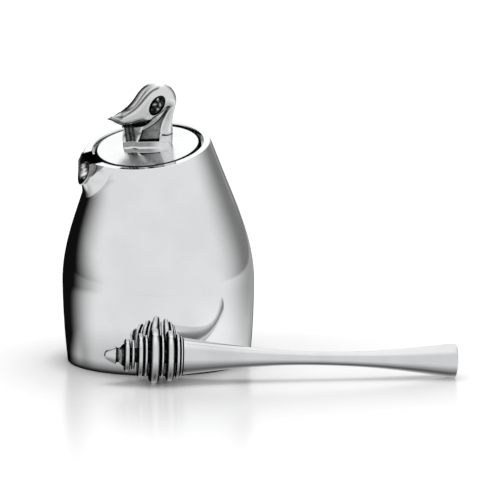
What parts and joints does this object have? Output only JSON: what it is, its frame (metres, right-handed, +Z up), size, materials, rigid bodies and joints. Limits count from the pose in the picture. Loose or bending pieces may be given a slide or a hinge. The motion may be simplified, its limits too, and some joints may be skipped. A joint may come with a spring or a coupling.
{
  "type": "honey pot with lid and dipper",
  "caption": "Round polished metal honey pot with a leaning rim, a lift-off lid under a bird's-head knob, a notch for the dipper's handle, and a grooved dipper.",
  "frame": {"origin": "centre of the pot's foot, on the plane it stands on", "axes": "+Z up; -X towards the notch for the dipper's handle, so the row is longest along X; -Y the front, where the rim is lowest and the dipper lies"},
  "size_m": [0.1826, 0.1155, 0.1326],
  "materials": {
    "pot_metal": "mirror-polished cast metal",
    "fastener_steel": "plain machined steel"
  },
  "bodies": {
    "pot": {"pot_body": "pot_metal", "base_plate": "pot_metal"},
    "lid": {"lid_disc": "pot_metal", "knob": "pot_metal", "knob_screw": "fastener_steel", "knob_washer": "fastener_steel", "knob_dowel": "fastener_steel"},
    "dipper": {"dipper_head": "pot_metal", "dipper_handle": "pot_metal", "dipper_stud": "fastener_steel"}
  },
  "joints": [
    {"name": "lid_lift", "type": "slide", "parent": "pot", "child": "lid", "axis": [-0.088, -0.2783, 0.9564], "range_m": [0, 0.06]},
    {"name": "dipper_lift", "type": "slide", "parent": "pot", "child": "dipper", "axis": [0, 0, 1], "range_m": [0, 0.16]}
  ]
}
